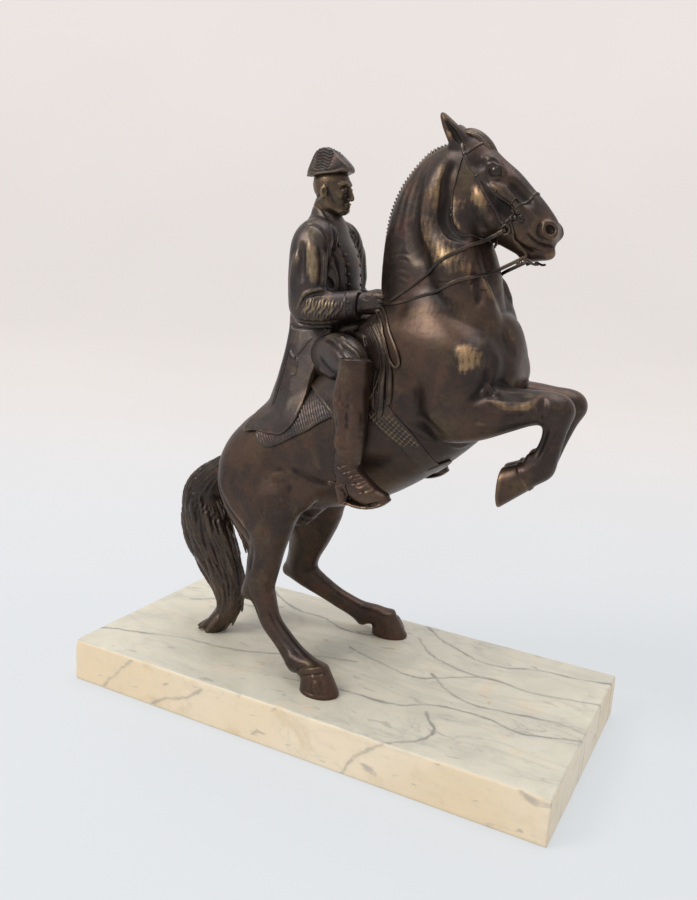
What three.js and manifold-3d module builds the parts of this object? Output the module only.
// A bronze statuette of a rider on a horse in the levade, standing on a marble slab.
// The bronze is one casting: horse, rider, tack and tail. The slab is a second piece.
// Lengths are in millimetres, x runs towards the horse's head, y to its left, z up.
import * as THREE from "three";
import { mergeVertices } from "three/addons/utils/BufferGeometryUtils.js";
import { edgeTable, triTable } from "three/addons/objects/MarchingCubes.js";
import Module from "manifold-3d";

const wasm = await Module();
wasm.setup();

// Driving dimensions
const PLINTH_LENGTH = 340;
const PLINTH_WIDTH = 170;
const PLINTH_THICKNESS = 30;
const PLINTH_WORN_EDGE = 1.5;
const FIGURE_HEIGHT = 360;
const FIGURE_SEAT_GAP = 0.3;
const REIN_WIDTH = 1.9;
const BIT_SHANK_WIDTH = 1.8;

// The figure is carved as shares of its own height, written as millimetres for one 360 mm tall,
// and the whole of it is scaled to FIGURE_HEIGHT at the end. Only the reins and the bit keep
// their own widths.

// How finely the bronze is carved, in modelled millimetres, and how many faces it keeps
const CARVING_STEP = 1.6;
const BRONZE_FACES = 7300;
const SPANS_PER_STATION = 4;
const FAR = 14;

// A block of clay: distances to the surface on a regular grid, to which forms are added or cut
class Clay {
  constructor(low, high) {
    this.low = low;
    this.count = low.map((v, i) => Math.ceil((high[i] - v) / CARVING_STEP) + 1);
    this.field = new Float32Array(this.count[0] * this.count[1] * this.count[2]).fill(FAR);
  }

  // Calls change(index, x, y, z) for each grid point inside the box from low to high
  visit(low, high, change) {
    const first = low.map((v, i) => Math.max(0, Math.floor((v - this.low[i]) / CARVING_STEP)));
    const last = high.map((v, i) =>
      Math.min(this.count[i] - 1, Math.ceil((v - this.low[i]) / CARVING_STEP)),
    );
    for (let k = first[2]; k <= last[2]; k++) {
      const z = this.low[2] + k * CARVING_STEP;
      for (let j = first[1]; j <= last[1]; j++) {
        const y = this.low[1] + j * CARVING_STEP;
        const row = (k * this.count[1] + j) * this.count[0];
        for (let i = first[0]; i <= last[0]; i++) {
          change(row + i, this.low[0] + i * CARVING_STEP, y, z);
        }
      }
    }
  }

  add(forms, blend = 0) {
    for (const form of forms) {
      const reach = blend + 2 * CARVING_STEP;
      const [low, high] = grown(form, reach);
      this.visit(low, high, (at, x, y, z) => {
        this.field[at] = softMin(this.field[at], form.distance(x, y, z), blend);
      });
    }
    return this;
  }

  cut(forms, blend = 0) {
    for (const form of forms) {
      const reach = blend + 2 * CARVING_STEP;
      const [low, high] = grown(form, reach);
      this.visit(low, high, (at, x, y, z) => {
        this.field[at] = -softMin(-this.field[at], form.distance(x, y, z), blend);
      });
    }
    return this;
  }

  // Lays a band of the given thickness on the surface where inside(x, y, z) is negative
  wrap(low, high, thickness, inside) {
    this.visit(low, high, (at, x, y, z) => {
      const raised = Math.max(this.field[at] - thickness, inside(x, y, z));
      this.field[at] = Math.min(this.field[at], raised);
    });
    return this;
  }

  // The outermost surface met when coming in along y from one side, at a place seen from the side
  surfaceY(x, z, side) {
    const i = Math.round((x - this.low[0]) / CARVING_STEP);
    const k = Math.round((z - this.low[2]) / CARVING_STEP);
    const middle = Math.round(-this.low[1] / CARVING_STEP);
    const value = (j) => this.field[(k * this.count[1] + j) * this.count[0] + i];
    let j = side < 0 ? 0 : this.count[1] - 1;
    while (j !== middle && value(j) > 0) j -= side;
    if (j === middle) return 0;
    const [inside, outside] = [value(j), value(j + side)];
    return this.low[1] + (j + (side * inside) / (inside - outside)) * CARVING_STEP;
  }

  join(other, blend) {
    for (let i = 0; i < this.field.length; i++) {
      this.field[i] = softMin(this.field[i], other.field[i], blend);
    }
    return this;
  }
}

function softMin(a, b, blend) {
  if (blend <= 0) return Math.min(a, b);
  const h = Math.max(blend - Math.abs(a - b), 0) / blend;
  return Math.min(a, b) - (h * h * blend) / 4;
}

function grown(form, by) {
  return [form.low.map((v) => v - by), form.high.map((v) => v + by)];
}

// One straight stretch of a limb, with an elliptical section: deep in the plane of its bend and
// wide along the side axis. cap is how far its ends bulge, as a share of the smaller radius.
function stretch(a, b, side, cap) {
  const axis = [b[0] - a[0], b[1] - a[1], b[2] - a[2]];
  const length = Math.hypot(...axis);
  const e = axis.map((v) => v / length);
  const lean = side[0] * e[0] + side[1] * e[1] + side[2] * e[2];
  let m = side.map((v, i) => v - lean * e[i]);
  const size = Math.hypot(...m);
  m = m.map((v) => v / size);
  const n = [e[1] * m[2] - e[2] * m[1], e[2] * m[0] - e[0] * m[2], e[0] * m[1] - e[1] * m[0]];
  const reach = Math.max(a[3], a[4], b[3], b[4]);
  return {
    low: [0, 1, 2].map((i) => Math.min(a[i], b[i]) - reach),
    high: [0, 1, 2].map((i) => Math.max(a[i], b[i]) + reach),
    distance(x, y, z) {
      const px = x - a[0];
      const py = y - a[1];
      const pz = z - a[2];
      const s = px * e[0] + py * e[1] + pz * e[2];
      const t = Math.min(1, Math.max(0, s / length));
      const past = s - t * length;
      const deep = px * n[0] + py * n[1] + pz * n[2];
      const wide = px * m[0] + py * m[1] + pz * m[2];
      const rd = a[3] + (b[3] - a[3]) * t;
      const rw = a[4] + (b[4] - a[4]) * t;
      return roundness(past, deep, wide, Math.min(rd, rw) * cap, rd, rw);
    },
  };
}

// Nearly the distance from a point to an ellipsoid with radii ra, rb and rc
function roundness(a, b, c, ra, rb, rc) {
  const k0 = Math.hypot(a / ra, b / rb, c / rc);
  const k1 = Math.hypot(a / (ra * ra), b / (rb * rb), c / (rc * rc));
  return k1 > 1e-9 ? (k0 * (k0 - 1)) / k1 : -Math.min(ra, rb, rc);
}

// A limb through stations [x, y, z, depth radius, width radius], joined by a smooth curve
function limb(stations, { side = [0, 1, 0], cap = 1, spans = SPANS_PER_STATION } = {}) {
  const points = [];
  const last = stations.length - 1;
  for (let i = 0; i < last; i++) {
    const [p0, p1, p2, p3] = [i - 1, i, i + 1, i + 2].map(
      (k) => stations[Math.min(last, Math.max(0, k))],
    );
    for (let s = 0; s < spans; s++) points.push(between(p0, p1, p2, p3, s / spans));
  }
  points.push(stations[last]);
  const forms = [];
  for (let i = 0; i + 1 < points.length; i++) {
    forms.push(stretch(points[i], points[i + 1], side, cap));
  }
  return forms;
}

// Catmull-Rom value of every number in a station
function between(p0, p1, p2, p3, t) {
  return p1.map((v, i) => {
    const a = 2 * v;
    const b = (p2[i] - p0[i]) * t;
    const c = (2 * p0[i] - 5 * v + 4 * p2[i] - p3[i]) * t * t;
    const d = (3 * v - p0[i] - 3 * p2[i] + p3[i]) * t * t * t;
    return (a + b + c + d) / 2;
  });
}

// An ellipsoid. pitch lifts its x radius towards +z, in degrees, and yaw turns it about z.
function egg(centre, radii, pitch = 0, yaw = 0) {
  const turn = new THREE.Matrix4().makeRotationZ(THREE.MathUtils.degToRad(yaw));
  turn.multiply(new THREE.Matrix4().makeRotationY(THREE.MathUtils.degToRad(-pitch)));
  const m = turn.elements;
  const reach = Math.max(...radii);
  return {
    low: centre.map((v) => v - reach),
    high: centre.map((v) => v + reach),
    distance(x, y, z) {
      const p = [x - centre[0], y - centre[1], z - centre[2]];
      const a = p[0] * m[0] + p[1] * m[1] + p[2] * m[2];
      const b = p[0] * m[4] + p[1] * m[5] + p[2] * m[6];
      const c = p[0] * m[8] + p[1] * m[9] + p[2] * m[10];
      return roundness(a, b, c, ...radii);
    },
  };
}

// A box about a centre
function block(centre, half) {
  return {
    low: centre.map((v, i) => v - half[i]),
    high: centre.map((v, i) => v + half[i]),
    distance(x, y, z) {
      const [a, b, c] = [x, y, z].map((v, i) => Math.abs(v - centre[i]) - half[i]);
      const outside = Math.hypot(Math.max(a, 0), Math.max(b, 0), Math.max(c, 0));
      return outside + Math.min(Math.max(a, b, c), 0);
    },
  };
}

// Signed distance in the xz plane to a closed outline through the given points
function outline(points) {
  const curve = new THREE.CatmullRomCurve3(
    points.map(([x, z]) => new THREE.Vector3(x, 0, z)),
    true,
    "centripetal",
  );
  const line = curve.getPoints(points.length * 5).map((p) => [p.x, p.z]);
  return (x, z) => {
    let nearest = Infinity;
    let inside = false;
    for (let i = 0, j = line.length - 1; i < line.length; j = i++) {
      const [ax, az] = line[j];
      const [bx, bz] = line[i];
      const ex = bx - ax;
      const ez = bz - az;
      const t = Math.min(1, Math.max(0, ((x - ax) * ex + (z - az) * ez) / (ex * ex + ez * ez || 1)));
      nearest = Math.min(nearest, Math.hypot(x - ax - t * ex, z - az - t * ez));
      if (az > z !== bz > z && x < ((bx - ax) * (z - az)) / (bz - az) + ax) inside = !inside;
    }
    return inside ? -nearest : nearest;
  };
}

// The horse's trunk, from the buttocks to the breast
function trunk(clay) {
  clay.add(
    limb([
      [-70, 0, 130, 23, 26],
      [-56, 0, 136, 31, 33],
      [-30, 0, 147, 37, 35.5],
      [0, 0, 161, 41, 38],
      [30, 0, 184, 42.5, 35.5],
      [56, 0, 206, 39.5, 30.5],
      [74, 0, 221, 31, 27],
    ]),
    10,
  );
  for (const side of [-1, 1]) {
    // haunch, point of the hip, breast muscle and shoulder blade
    clay.add([egg([-57, side * 18.5, 143], [28, 16, 23], 22)], 12);
    clay.add([egg([-34, side * 23, 166], [13, 8, 9], 25)], 12);
    clay.add([egg([85, side * 13, 216], [14, 14, 20], 60)], 8);
    clay.add(
      limb([
        [10, side * 13, 230, 9, 7],
        [40, side * 26, 224, 17, 8],
        [66, side * 30, 220, 17, 9],
        [84, side * 27, 221, 12, 9],
      ]),
      9,
    );
  }
  // withers and sheath
  clay.add(limb([[-14, 0, 204, 8, 7], [4, 0, 219, 11, 9], [18, 0, 228, 12, 9]]), 9);
  clay.add(limb([[-30, 0, 112, 9, 8], [-40, 0, 100, 7, 7], [-43, 0, 95, 5.5, 5.5]]), 5);
  return clay;
}

// The neck's column with its arched crest, and the long muscles beside the windpipe
function neck(clay) {
  clay.add(
    limb([
      [53, 0, 214, 38, 29],
      [50.5, 0, 240, 36.5, 26],
      [46.5, 0, 264, 35.6, 21.5],
      [41.8, 0, 281, 31.2, 17.5],
      [40.6, 0, 295, 27.6, 15],
      [44, 0, 305.5, 25.8, 13.5],
      [48.5, 0, 311.5, 25, 12.5],
      [52.5, 0, 315.5, 24.5, 12],
      [56.5, 0, 317.5, 23.5, 11.5],
    ]),
    6,
  );
  for (const side of [-1, 1]) {
    clay.add(
      limb([
        [56, side * 10, 304, 8, 5],
        [60, side * 14, 285, 9, 6],
        [68, side * 17, 262, 10, 8],
        [82, side * 15, 238, 10, 10],
      ]),
      7,
    );
  }
  return clay;
}

function head(clay) {
  clay.add(
    limb([
      [57, 0, 337, 12.5, 10.5],
      [66, 0, 323, 16, 12],
      [77, 0, 311.5, 18.3, 11.5],
      [89, 0, 303.5, 16, 9.2],
      [98, 0, 297, 14, 8],
      [106.5, 0, 290.5, 11.7, 8.2],
    ]),
    5,
  );
  clay.add([egg([108, 0, 283.5], [8, 6.6, 4.6], -8)], 3);
  clay.add([egg([101.5, 0, 281.5], [6.5, 5.4, 3.8], 14)], 2.5);
  for (const side of [-1, 1]) {
    // cheek, brow, eye, cheekbone and nostril
    clay.add([egg([67.5, side * 8, 306.5], [18, 6.3, 15.5], -45)], 3);
    clay.add([egg([76, side * 9.5, 330.5], [6, 4, 4.2], -45)], 2.5);
    clay.add([egg([79.5, side * 10.8, 327], [3, 2.6, 2.8])], 0.8);
    clay.add(limb([[77, side * 10.5, 318, 2, 2], [94, side * 7.8, 304, 1.5, 1.5]]), 3);
    clay.add([egg([112.5, side * 6, 295], [5.6, 3.4, 5], -50)], 2.5);
    clay.cut([egg([114.6, side * 9.6, 295.5], [2.5, 2.8, 3.2])], 0.8);
    // the mouth's corner
    clay.cut([egg([108, side * 8.4, 286.8], [7.5, 2.4, 0.9], 4)], 0.8);
  }
  return clay;
}

function ear(clay, side) {
  clay.add(
    limb([
      [56.5, side * 7, 340, 4.4, 4.4],
      [53, side * 8.5, 345, 5, 3.4],
      [47.5, side * 9.5, 352, 3.4, 2.6],
      [42.5, side * 9.5, 358.8, 1.2, 1.2],
    ]),
    2,
  );
  clay.cut([egg([53, side * 12, 346.5], [6.5, 2.4, 2.2], 130)], 1);
  return clay;
}

// Small knots of the plaited mane along the crest, and the forelock
function mane(clay) {
  const crest = new THREE.CatmullRomCurve3(
    [[45, 342.5], [35, 338.5], [26.5, 330.5], [18, 319], [12.3, 306.5], [9.4, 293], [9, 279], [9, 264], [10, 250]].map(
      ([x, z]) => new THREE.Vector3(x, 0, z),
    ),
  );
  const knots = 32;
  for (let i = 0; i <= knots; i++) {
    const p = crest.getPointAt(i / knots);
    clay.add([egg([p.x, -0.6, p.z], [2.5, 3, 1.9])], 1);
  }
  clay.add(limb([[55, 0, 349, 4, 6], [64, 0, 346.5, 4, 6], [73, 0, 338.5, 3.2, 5.2]]), 2.5);
  return clay;
}

// A hind leg. Both hooves stand on the slab, and the left hock is bent further.
function hindLeg(clay, side) {
  const right = side < 0;
  const hip = [-63, side * 21, 137];
  const thigh = right ? [-54, side * 28, 116] : [-56, side * 28, 116];
  const stifle = right ? [-47, side * 34, 101] : [-50, side * 34, 97];
  const gaskin = right ? [-44.5, side * 38, 82] : [-55, side * 38, 72];
  const shin = right ? [-45, side * 40, 68] : [-61, side * 41, 54];
  const hock = right ? [-47.5, side * 41, 54] : [-64, side * 43, 38];
  const cannon = right ? [-36, side * 43.5, 33.5] : [-34, side * 47, 21.5];
  const fetlock = right ? [-12, side * 48.5, 15] : [-12, side * 50.5, 12.5];
  const middle = cannon.map((v, i) => (v + fetlock[i]) / 2);
  clay.add(
    limb([
      [...hip, 29, 17],
      [...thigh, 28, 15.5],
      [...stifle, right ? 19 : 22, 14],
      [...gaskin, right ? 12.5 : 15, 10.5],
      [...shin, right ? 9.3 : 10.5, 8.5],
      [...hock, right ? 8 : 9.5, 8],
    ]),
    8,
  );
  // kneecap, inner thigh and hamstring
  const cap = stifle[0] + (right ? 9 : 13);
  clay.add([egg([cap, side * 35, stifle[2] + 14], [9, 9, 13], 70)], 7);
  clay.add([egg([thigh[0] + 6, side * 18, thigh[2] + 3], [22, 14, 20], 20)], 10);
  clay.add(
    limb([
      [-74, side * 17, 138, 15, 14],
      [-76, side * 22, 120, 14, 15],
      [thigh[0] - 10, side * 29, 101, 11, 10],
      [gaskin[0] - 3, side * 35, gaskin[2] + 2, 6, 6],
    ]),
    8,
  );
  // tendon running down to the point of the hock
  const point = right ? [-57, side * 41, 45.5] : [-75, side * 43, 35.5];
  clay.add(
    limb([
      [shin[0] - 2, side * 38, shin[2] + 15, 4, 3.5],
      [shin[0] - 7, side * 40, shin[2], 3, 3],
      [...point, 3.6, 4.4],
    ]),
    3,
  );
  clay.add(limb([[...point, 3.6, 4.6], [...hock, right ? 7.5 : 8.5, 7.5]]), 4);
  clay.add(
    limb([
      [...hock, right ? 8 : 9.5, 8],
      [(hock[0] * 2 + cannon[0]) / 3, hock[1], (hock[2] * 2 + cannon[2]) / 3, 8.3, 7.2],
      [...cannon, 6.3, 5.8],
      [...middle, 6, 5.6],
      [...fetlock, 7, 6.8],
    ]),
    3,
  );
  clay.add(
    limb([
      [...fetlock, 6.8, 6.6],
      [-3, side * 51, 13.5, 6.2, 6.6],
      [6, side * 53, 10, 7.4, 7.4],
    ]),
    3,
  );
  clay.add([egg([fetlock[0] - 1, fetlock[1], fetlock[2] - 5.5], [4, 4.4, 4.5])], 3);
  const hoof = [[4.5, side * 52, 15, 8.2, 7.4], [9, side * 53.5, -3, 13.4, 10]];
  clay.add(limb(hoof, { cap: 0.3, spans: 1 }), 1);
  return clay;
}

// A raised foreleg: upper arm, forearm, folded knee, cannon and tucked hoof
function foreLeg(clay, side) {
  const right = side < 0;
  const y = side * 24;
  const knee = right ? [134, y, 198] : [130.5, y, 194.5];
  const fetlock = right ? [128, y, 163.5] : [117, y, 156];
  const coronet = right ? [117, y, 155.5] : [104.5, y, 147];
  const toe = right ? [100, y, 145.5] : [88, y, 137];
  const shin = [(knee[0] + fetlock[0]) / 2 + 1.5, y, (knee[2] + fetlock[2]) / 2];
  const upper = knee.map((v, i) => v * 0.7 + shin[i] * 0.3);
  clay.add(
    limb([
      [84, side * 27, 221, 13, 10],
      [74, side * 31, 203, 17, 10],
      [70, side * 29, 187, 14, 10],
    ]),
    7,
  );
  clay.add(
    limb([
      [68, side * 28, 187.5, right ? 16.5 : 14, 11],
      [86, side * 28, right ? 190 : 188, right ? 15 : 14, 11.5],
      [104, side * 26.5, right ? 194 : 192, 11, 10.5],
      [knee[0] - 14, side * 25, knee[2] - 0.5, 7.8, 8.6],
      [...knee, 7.6, 8.4],
    ]),
    5,
  );
  clay.add(
    limb([
      [knee[0] + 0.5, y, knee[2] - 1, 7.8, 8.2],
      [...upper, 6.6, 7],
      [...shin, 5.4, 5.6],
      [...fetlock, 7.2, 7.2],
    ]),
    3,
  );
  clay.add(limb([[...fetlock, 6.8, 7], [...coronet, 7, 7.4]]), 3);
  clay.add([egg([fetlock[0] - 6, y, fetlock[2] + 4], [4, 4.6, 4])], 3);
  clay.add(limb([[...coronet, 8.6, 8], [...toe, 11.5, 9.8]], { cap: 0.5, spans: 1 }), 1);
  // the sole is cut upright
  clay.cut([block([toe[0] - 6, y, toe[2]], [10.8, 16, 22])], 0);
  return clay;
}

// The tail arches off the dock and comes to rest on the slab
function tail(clay) {
  const line = [
    [-86, 0, 128, 8, 7],
    [-102, 0, 123, 8, 8],
    [-116, -1, 112, 10.5, 9.5],
    [-124, -2, 98, 15, 11.5],
    [-122, -3, 81, 18.8, 13.5],
    [-115, -4, 65, 18.5, 14],
    [-104.5, -6, 49, 16, 12.5],
    [-95, -8, 32, 12, 10.5],
    [-92.5, -11, 17, 8.5, 8.5],
    [-99, -13.5, 7, 6.5, 8.5],
    [-103, -15, 0, 6.5, 8.5],
  ];
  clay.add(limb(line), 3);
  const locks = 9;
  for (let i = 0; i < locks; i++) {
    const lock = line.slice(1, -1).map(([x, y, z, deep, wide], k) => {
      const turn = (2 * Math.PI * i) / locks + 0.12 * k;
      const across = [x + Math.cos(turn) * deep * 0.78, y + Math.sin(turn) * wide * 0.8];
      return [...across, z, deep * 0.3, wide * 0.32];
    });
    clay.add(limb(lock), 1.5);
  }
  return clay;
}

// Saddle cloth, saddle flaps and girth lie on the horse as raised bands
function saddle(clay) {
  const cloth = outline([
    [-59, 158], [-53, 152], [-42, 152], [-28, 159], [-9, 172], [8, 184], [14, 232], [-20, 222], [-54, 186],
  ]);
  clay.wrap([-80, -48, 140], [40, 48, 245], 1.6, (x, y, z) => cloth(x, z));
  const flap = outline([
    [-24, 196], [-14, 180], [0, 164], [14, 160], [24, 172], [32, 196], [30, 222], [14, 236], [-12, 222],
  ]);
  clay.wrap([-34, -52, 150], [45, 52, 245], 1.8, (x, y, z) => flap(x, z));
  // seat with pommel and cantle
  clay.add(
    limb([
      [-50, 0, 196, 8, 18],
      [-34, 0, 202, 9, 17],
      [-10, 0, 214, 9, 14],
      [6, 0, 230, 7, 9],
    ]),
    4,
  );
  const girth = { at: [44, 172], along: [0.82, 0.57], half: 10 };
  clay.wrap([0, -50, 130], [100, 50, 215], 1, (x, y, z) => {
    const s = (x - girth.at[0]) * girth.along[0] + (z - girth.at[1]) * girth.along[1];
    return Math.abs(s) - girth.half;
  });
  // the loose end of the breast strap under the belly
  clay.add([egg([66, 0, 155], [6, 3, 2], 20)], 1.5);
  return clay;
}

// The bridle's straps lie on the head as raised bands between pairs of planes
function bridle(clay) {
  const band = (from, to, half, deep) => {
    const along = [to[0] - from[0], to[1] - from[1]];
    const length = Math.hypot(...along);
    const low = [Math.min(from[0], to[0]) - 5, -24, Math.min(from[1], to[1]) - 5];
    const high = [Math.max(from[0], to[0]) + 5, 24, Math.max(from[1], to[1]) + 5];
    clay.wrap(low, high, deep, (x, y, z) => {
      const s = ((x - from[0]) * along[0] + (z - from[1]) * along[1]) / length;
      const off = Math.abs((x - from[0]) * along[1] - (z - from[1]) * along[0]) / length;
      return Math.max(off - half, -s, s - length);
    });
  };
  // noseband, cheekpiece, throat strap, browband
  band([106, 314], [80, 288], 1.9, 0.9);
  band([60, 336], [90, 297], 1.5, 0.9);
  band([56, 334], [64, 291], 1.2, 0.8);
  band([58, 331], [76, 343], 1.5, 0.8);
  return clay;
}

// The rider's trunk, neck and head under a two-cornered hat
function riderBody(clay) {
  clay.add(
    limb([
      [-27, 0, 212, 15, 18],
      [-29, 0, 232, 14.5, 16.5],
      [-27.5, 0, 250, 15.8, 18],
      [-27, 0, 268, 16.8, 20.5],
      [-30.5, 0, 283, 13, 19.5],
      [-34, 0, 291, 9.5, 12],
    ]),
    5,
  );
  clay.add(limb([[-35, 0, 288, 10, 10], [-35.5, 0, 297, 9, 8.6], [-33, 0, 306, 8.5, 7.8]]), 3);
  // skull, jaw, chin, nose and ears
  clay.add([egg([-32.5, 0, 316], [12.5, 9.6, 12.5])], 1);
  clay.add([egg([-27.5, 0, 308.5], [8.8, 7.4, 8.6], -12)], 3);
  clay.add([egg([-21, 0, 302], [3.2, 3.4, 2.6])], 2.5);
  clay.add(limb([[-20.5, 0, 317, 1.3, 1.5], [-17.2, 0, 310.5, 1.7, 1.7]]), 1.5);
  for (const side of [-1, 1]) clay.add([egg([-32.5, side * 9.6, 312.5], [2.6, 1.6, 3.8], 10)], 1);
  return clay;
}

function hat(clay) {
  // the crown, and a flap turned up on each side to a trimmed ridge
  clay.add([egg([-32.5, 0, 325], [14, 10, 9.5])], 1);
  const flap = outline([
    [-48.5, 324.5], [-44, 322], [-33, 321.5], [-23, 322.5], [-17.5, 324.5], [-19.5, 328.5],
    [-21.5, 332.5], [-26.5, 337.5], [-32, 340.3], [-38.5, 339.3], [-42, 335], [-45, 330],
  ]);
  const [front, rear] = [-15, -50.5];
  clay.visit([-56, -16, 316], [-10, 16, 345], (at, x, y, z) => {
    const lens = Math.sqrt(Math.max(0.02, (4 * (front - x) * (x - rear)) / (front - rear) ** 2));
    const spread = (3.4 + Math.max(0, 341 - z) * 0.46) * lens;
    const solid = Math.max(flap(x, z), (Math.abs(y) - spread) * 0.85);
    clay.field[at] = softMin(clay.field[at], solid, 0.8);
  });
  return clay;
}

function arm(clay, side) {
  const hand = side < 0 ? [6, -10, 246] : [8.5, 6.5, 247.5];
  const back = side < 0 ? -30 : -33.5;
  clay.add(
    limb([
      [back, side * 19, 282, 11, 9.5],
      [back - 1, side * 26, 275, 11.2, 9.5],
      [back, side * 29.5, 258, 11.6, 8.8],
      [back + 1.5, side * 30.5, 243, 11, 8.8],
    ]),
    4,
  );
  clay.add(
    limb([
      [-31, side * 30.5, 241, 10, 8.6],
      [-18, side * 28, 241.5, 10, 8.6],
      [-6, side * 22, 243.5, 8.2, 7.4],
      [0, side * 16.5, 245, 6.4, 6],
      [...hand, 7.4, 5.8],
    ]),
    3,
  );
  // the fist's fingers
  for (let i = 0; i < 4; i++) {
    const z = hand[2] + 5 - 3.2 * i;
    const knuckle = [hand[0] + 3, hand[1] + side * 3.4, z, 2, 2];
    clay.add(limb([knuckle, [hand[0] + 6, hand[1] - side, z, 1.8, 1.8]]), 0.8);
  }
  return clay;
}

function leg(clay, side) {
  // thigh in breeches
  clay.add(
    limb([
      [-24, side * 12, 207, 16, 12],
      [-8, side * 26, 213, 15.5, 11],
      [6, side * 37, 214, 14, 10.5],
      [13, side * 42, 211, 10.5, 9],
    ]),
    5,
  );
  // boot shaft, its stiff top edge standing a little proud
  const shaft = [
    [13.5, side * 43, 213.5, 9.8, 9.6],
    [13, side * 44.5, 196, 9.8, 9.6],
    [14, side * 46.5, 172, 9.2, 8.6],
    [15, side * 47.5, 152, 8.2, 7.6],
    [14.5, side * 48, 138, 8, 7],
  ];
  clay.add(limb(shaft, { cap: 0.25 }), 0.8);
  clay.add(
    limb([
      [13, side * 48, 134.5, 7.2, 6.4],
      [25, side * 48, 134.5, 6.8, 6.6],
      [36, side * 48, 135, 5.2, 6.4],
      [41.5, side * 48, 136, 4, 5.2],
    ]),
    2,
  );
  // heel block, and the spur's neck behind it
  clay.add([block([11, side * 48, 130], [4.5, 5.4, 3.6])], 0.8);
  clay.add(limb([[8, side * 48, 141, 1.6, 1.6], [1.5, side * 48, 140, 1.4, 1.4]]), 0.6);
  return clay;
}

// The coat's skirts spread from the waist over the saddle and the croup
function coatSkirts(clay) {
  const panel = outline([
    [-50, 240], [-50.5, 224], [-52, 210], [-58, 194], [-67, 176], [-79, 154.5], [-64, 157],
    [-48, 158], [-39, 159], [-31, 169], [-24, 190], [-20.5, 211], [-17, 230], [-24, 240],
  ]);
  const [waist, hem] = [238, 170];
  clay.visit([-92, -50, 145], [-8, 50, 250], (at, x, y, z) => {
    const down = Math.min(1, Math.max(0, (waist - z) / (waist - hem)));
    const flare = Math.min(37, 15 + (x + 81) * 0.52);
    const spread = 17 * (1 - down) + flare * down;
    const round = 3 + 7 * Math.min(1, Math.max(0, (-44 - x) / 10));
    const [a, b] = [panel(x, z) + round, (Math.abs(y) - spread) * 0.92 + round];
    const solid = Math.hypot(Math.max(a, 0), Math.max(b, 0)) + Math.min(Math.max(a, b), 0) - round;
    clay.field[at] = softMin(clay.field[at], solid, 1.5);
  });
  return clay;
}

function polygonise(clay) {
  const { count, field, low } = clay;
  const [nx, ny, nz] = count;
  const steps = [1, nx, nx * ny];
  const corner = [[0, 0, 0], [1, 0, 0], [1, 1, 0], [0, 1, 0], [0, 0, 1], [1, 0, 1], [1, 1, 1], [0, 1, 1]];
  const edge = [
    [0, 1], [1, 2], [2, 3], [3, 0], [4, 5], [5, 6], [6, 7], [7, 4], [0, 4], [1, 5], [2, 6], [3, 7],
  ];
  const made = new Map();
  const points = [];
  const faces = [];
  const offset = corner.map((c) => c[0] * steps[0] + c[1] * steps[1] + c[2] * steps[2]);
  for (let k = 0; k < nz - 1; k++) {
    for (let j = 0; j < ny - 1; j++) {
      for (let i = 0; i < nx - 1; i++) {
        const base = i + j * steps[1] + k * steps[2];
        let kind = 0;
        for (let c = 0; c < 8; c++) if (field[base + offset[c]] < 0) kind |= 1 << c;
        if (!edgeTable[kind]) continue;
        const at = edge.map(([a, b], e) => {
          if (!(edgeTable[kind] & (1 << e))) return -1;
          const p = base + offset[a];
          const q = base + offset[b];
          const key = Math.min(p, q) * 3 + steps.indexOf(Math.abs(p - q));
          if (!made.has(key)) {
            const t = Math.min(0.94, Math.max(0.06, field[p] / (field[p] - field[q])));
            made.set(key, points.length / 3);
            for (let axis = 0; axis < 3; axis++) {
              const whole = [i, j, k][axis] + corner[a][axis] + t * (corner[b][axis] - corner[a][axis]);
              points.push(low[axis] + whole * CARVING_STEP);
            }
          }
          return made.get(key);
        });
        for (let n = kind * 16; triTable[n] !== -1; n += 3) {
          faces.push(at[triTable[n]], at[triTable[n + 2]], at[triTable[n + 1]]);
        }
      }
    }
  }
  return { points: Float64Array.from(points), faces: Uint32Array.from(faces) };
}

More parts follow.
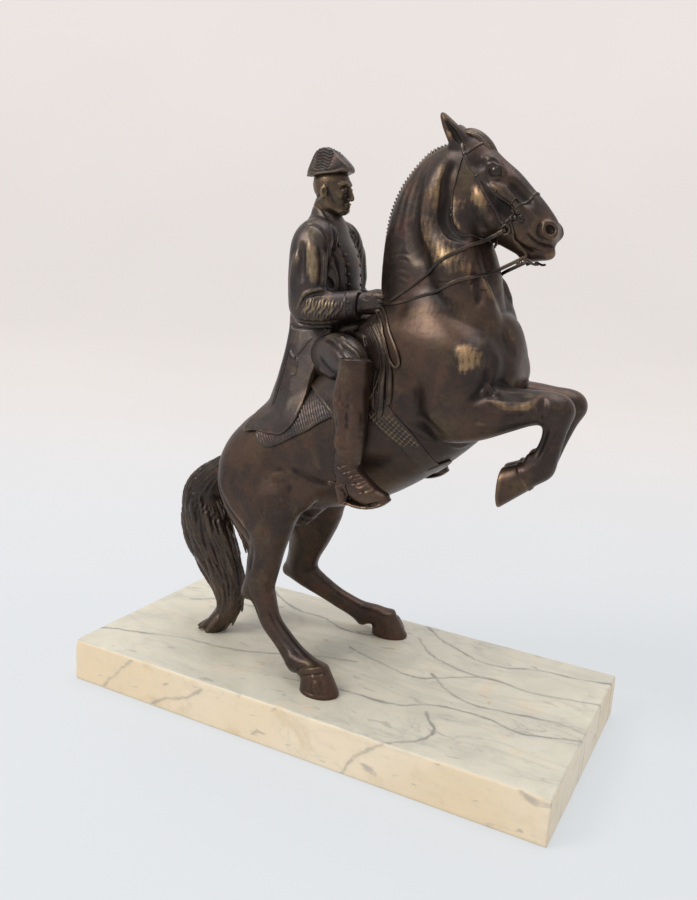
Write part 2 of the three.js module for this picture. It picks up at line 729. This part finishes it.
// Quadric edge collapse: folds away the edges that matter least until few faces are left
function simplify({ points, faces }, wanted) {
  const corners = points.length / 3;
  const quadric = Array.from({ length: corners }, () => new Float64Array(10));
  const around = Array.from({ length: corners }, () => new Set());
  const alive = new Uint8Array(faces.length / 3).fill(1);
  const stamp = new Uint32Array(corners);
  const at = (v) => [points[3 * v], points[3 * v + 1], points[3 * v + 2]];
  const normal = (a, b, c) => {
    const u = [b[0] - a[0], b[1] - a[1], b[2] - a[2]];
    const w = [c[0] - a[0], c[1] - a[1], c[2] - a[2]];
    return [u[1] * w[2] - u[2] * w[1], u[2] * w[0] - u[0] * w[2], u[0] * w[1] - u[1] * w[0]];
  };
  for (let f = 0; f < alive.length; f++) {
    const [a, b, c] = faces.subarray(3 * f, 3 * f + 3);
    const n = normal(at(a), at(b), at(c));
    const area = Math.hypot(...n) || 1e-12;
    const [x, y, z] = n.map((v) => v / area);
    const d = -(x * points[3 * a] + y * points[3 * a + 1] + z * points[3 * a + 2]);
    const plane = [x * x, x * y, x * z, x * d, y * y, y * z, y * d, z * z, z * d, d * d];
    for (const v of [a, b, c]) {
      around[v].add(f);
      for (let i = 0; i < 10; i++) quadric[v][i] += plane[i] * area;
    }
  }
  const cost = (q, [x, y, z]) =>
    q[0] * x * x + 2 * q[1] * x * y + 2 * q[2] * x * z + 2 * q[3] * x + q[4] * y * y +
    2 * q[5] * y * z + 2 * q[6] * y + q[7] * z * z + 2 * q[8] * z + q[9];
  const plan = (a, b) => {
    const q = quadric[a].map((v, i) => v + quadric[b][i]);
    const [pa, pb] = [at(a), at(b)];
    const middle = pa.map((v, i) => (v + pb[i]) / 2);
    const choices = [pa, pb, middle];
    const m = new THREE.Matrix3().set(q[0], q[1], q[2], q[1], q[4], q[5], q[2], q[5], q[7]);
    const size = q[0] + q[4] + q[7];
    if (Math.abs(m.determinant()) > 1e-4 * size ** 3) {
      const best = new THREE.Vector3(-q[3], -q[6], -q[8]).applyMatrix3(m.invert()).toArray();
      if (Math.hypot(...best.map((v, i) => v - middle[i])) < 4 * CARVING_STEP) choices.unshift(best);
    }
    let chosen = choices[0];
    for (const p of choices) if (cost(q, p) < cost(q, chosen) - 1e-12) chosen = p;
    const length = Math.hypot(...pa.map((v, i) => v - pb[i]));
    return { a, b, p: chosen, cost: cost(q, chosen) + 1e-3 * length * length, sa: stamp[a], sb: stamp[b] };
  };
  const heap = [];
  const push = (item) => {
    let i = heap.push(item) - 1;
    while (i > 0 && heap[(i - 1) >> 1].cost > item.cost) {
      heap[i] = heap[(i - 1) >> 1];
      i = (i - 1) >> 1;
    }
    heap[i] = item;
  };
  const pop = () => {
    const top = heap[0];
    const item = heap.pop();
    if (!heap.length) return top;
    let i = 0;
    for (let c = 1; c < heap.length; c = 2 * i + 1) {
      if (c + 1 < heap.length && heap[c + 1].cost < heap[c].cost) c++;
      if (heap[c].cost >= item.cost) break;
      heap[i] = heap[c];
      i = c;
    }
    heap[i] = item;
    return top;
  };
  const neighbours = (v) => {
    const found = new Set();
    for (const f of around[v]) for (let i = 0; i < 3; i++) found.add(faces[3 * f + i]);
    found.delete(v);
    return found;
  };
  for (let v = 0; v < corners; v++) for (const w of neighbours(v)) if (w > v) push(plan(v, w));
  let left = alive.length;
  while (left > wanted && heap.length) {
    const { a, b, p, sa, sb } = pop();
    if (stamp[a] !== sa || stamp[b] !== sb || !around[a].size || !around[b].size) continue;
    const near = neighbours(a);
    let shared = 0;
    for (const w of neighbours(b)) if (near.has(w)) shared++;
    if (shared !== 2) continue;
    const turns = [a, b].some((v) =>
      [...around[v]].some((f) => {
        const tri = [...faces.subarray(3 * f, 3 * f + 3)];
        if (tri.includes(a) && tri.includes(b)) return false;
        const before = normal(...tri.map(at));
        const after = normal(...tri.map((w) => (w === v ? p : at(w))));
        const dot = before[0] * after[0] + before[1] * after[1] + before[2] * after[2];
        return dot < 0.3 * Math.hypot(...before) * Math.hypot(...after) || Math.hypot(...after) < 1e-3;
      }),
    );
    if (turns) continue;
    for (const f of [...around[b]]) {
      const tri = faces.subarray(3 * f, 3 * f + 3);
      if (tri.includes(a)) {
        alive[f] = 0;
        left--;
        for (const v of tri) around[v].delete(f);
      } else {
        tri[tri.indexOf(b)] = a;
        around[a].add(f);
      }
    }
    around[b].clear();
    points.set(p, 3 * a);
    for (let i = 0; i < 10; i++) quadric[a][i] += quadric[b][i];
    stamp[a]++;
    stamp[b]++;
    for (const w of neighbours(a)) push(plan(a, w));
  }
  const kept = [];
  for (let f = 0; f < alive.length; f++) if (alive[f]) kept.push(...faces.subarray(3 * f, 3 * f + 3));
  return { points, faces: Uint32Array.from(kept) };
}

function solidFrom(geometry) {
  const bare = geometry.index ? geometry.toNonIndexed() : geometry.clone();
  for (const name of Object.keys(bare.attributes)) if (name !== "position") bare.deleteAttribute(name);
  const merged = mergeVertices(bare, 1e-3);
  return new wasm.Manifold(
    new wasm.Mesh({
      numProp: 3,
      vertProperties: merged.attributes.position.array,
      triVerts: new Uint32Array(merged.index.array),
    }),
  );
}

function geometryFrom(solid) {
  const mesh = solid.getMesh();
  const made = new THREE.BufferGeometry();
  made.setAttribute("position", new THREE.BufferAttribute(mesh.vertProperties.slice(), mesh.numProp));
  made.setIndex(new THREE.BufferAttribute(mesh.triVerts.slice(), 1));
  const flat = made.toNonIndexed();
  flat.computeVertexNormals();
  return flat;
}

// A thin strap or bar along a smooth line, six-sided
function strap(points, width, steps) {
  const section = new THREE.Shape().absarc(0, 0, width / 2, 0, 2 * Math.PI);
  const path = new THREE.CatmullRomCurve3(points.map((p) => new THREE.Vector3(...p)));
  return new THREE.ExtrudeGeometry(section, {
    steps,
    curveSegments: 3,
    bevelEnabled: false,
    extrudePath: path,
  });
}

// Lifts the inner points of a line [x, z] off the surface, between its two given ends
function laidOn(clay, start, line, end, side, lift) {
  const points = [start];
  line.forEach(([x, z], i) => {
    const share = (i + 1) / (line.length + 1);
    const straight = Math.abs(start[1] + (end[1] - start[1]) * share);
    const surface = Math.abs(clay.surfaceY(x, z, side)) + lift;
    points.push([x, side * Math.max(straight, surface), z]);
  });
  return [...points, end];
}

// Reins from the hands to the bit on both sides, with the curb bit's shanks. The rein and the
// shank have their own widths, given here in modelled millimetres.
function reinsAndBit(clay, rein, bar) {
  const lift = rein * 0.35;
  const parts = [];
  for (const side of [-1, 1]) {
    const hand = side < 0 ? [12, -10, 246] : [14, 7, 247];
    const ring = [90, side * 9.5, 294.5];
    const shankEnd = [99, side * 9, 277];
    const snaffle = [[24, 250], [35, 257], [43.5, 263.5], [51, 270], [57.5, 275.5], [66.5, 281.5], [75, 287]];
    const curb = [[23, 247.5], [34, 250], [44.5, 253.5], [56.5, 258], [68, 264], [78, 268], [87, 271.5]];
    const shank = [[92, side * 8, 299], [94.5, side * 9.5, 294], [97, side * 9.5, 286], [103, side * 9.5, 279], shankEnd];
    parts.push(strap(laidOn(clay, hand, snaffle, ring, side, lift), rein, 16));
    parts.push(strap(laidOn(clay, hand, curb, shankEnd, side, lift), rein, 16));
    parts.push(strap(shank, bar, 8));
    parts.push(strap([ring, [93, side * 7, 295], [96, side * 4, 294]], bar, 3));
  }
  // the bar joining the shanks, and the slack of the reins hanging from the hands
  parts.push(strap([[99, -9, 277], [103, 0, 276], [99, 9, 277]], bar, 6));
  const slack = [[22, 237], [26.5, 223], [31, 213], [35, 212.5], [36, 221], [30, 234], [22, 243]];
  parts.push(strap(laidOn(clay, [12, -10, 241], slack, [13, -9, 246], -1, lift), rein, 16));
  return parts;
}

function bronzeGeometry() {
  const low = [-154, -74, -14];
  const high = [158, 74, 374];
  const horse = new Clay(low, high);
  trunk(horse);
  neck(horse);
  head(horse);
  for (const side of [-1, 1]) {
    hindLeg(horse, side);
    foreLeg(horse, side);
    ear(horse, side);
  }
  tail(horse);
  saddle(horse);
  bridle(horse);
  mane(horse);
  const rider = new Clay(low, high);
  riderBody(rider);
  coatSkirts(rider);
  for (const side of [-1, 1]) {
    leg(rider, side);
    arm(rider, side);
  }
  hat(rider);
  horse.join(rider, 0.8);
  const { points, faces } = simplify(polygonise(horse), BRONZE_FACES);
  const mesh = new THREE.BufferGeometry();
  mesh.setAttribute("position", new THREE.BufferAttribute(Float32Array.from(points), 3));
  mesh.setIndex(new THREE.BufferAttribute(faces, 1));
  let solid = solidFrom(mesh);
  const scale = FIGURE_HEIGHT / solid.boundingBox().max[2];
  const widths = [REIN_WIDTH, BIT_SHANK_WIDTH].map((v) => v / scale);
  for (const part of reinsAndBit(horse, ...widths)) solid = solid.add(solidFrom(part));
  // the hooves and the tail's end stand flat
  const ground = new THREE.BoxGeometry(400, 300, 20).translate(0, 0, -10);
  solid = solid.subtract(solidFrom(ground));
  const bodies = solid.decompose().sort((a, b) => b.volume() - a.volume());
  return geometryFrom(bodies[0]).scale(scale, scale, scale);
}

function plinthGeometry() {
  const half = [PLINTH_LENGTH / 2 - PLINTH_WORN_EDGE, PLINTH_WIDTH / 2 - PLINTH_WORN_EDGE];
  const face = new THREE.Shape();
  face.moveTo(-half[0], -half[1]);
  face.lineTo(half[0], -half[1]);
  face.lineTo(half[0], half[1]);
  face.lineTo(-half[0], half[1]);
  face.closePath();
  return new THREE.ExtrudeGeometry(face, {
    depth: PLINTH_THICKNESS - 2 * PLINTH_WORN_EDGE,
    bevelSize: PLINTH_WORN_EDGE,
    bevelThickness: PLINTH_WORN_EDGE,
    bevelSegments: 3,
    steps: 1,
  }).translate(0, 0, PLINTH_WORN_EDGE);
}

const bronze = new THREE.MeshStandardMaterial({ color: 0x4a3526, roughness: 0.38, metalness: 0.9 });
const marble = new THREE.MeshStandardMaterial({ color: 0xd9d0bd, roughness: 0.35, metalness: 0 });

const plinth = new THREE.Mesh(plinthGeometry(), marble);
plinth.name = "marble_plinth";
const figure = new THREE.Mesh(bronzeGeometry(), bronze);
figure.name = "bronze_horse_and_rider";
figure.position.z = PLINTH_THICKNESS + FIGURE_SEAT_GAP;

const statuette = new THREE.Group();
statuette.add(plinth, figure);
export default statuette;
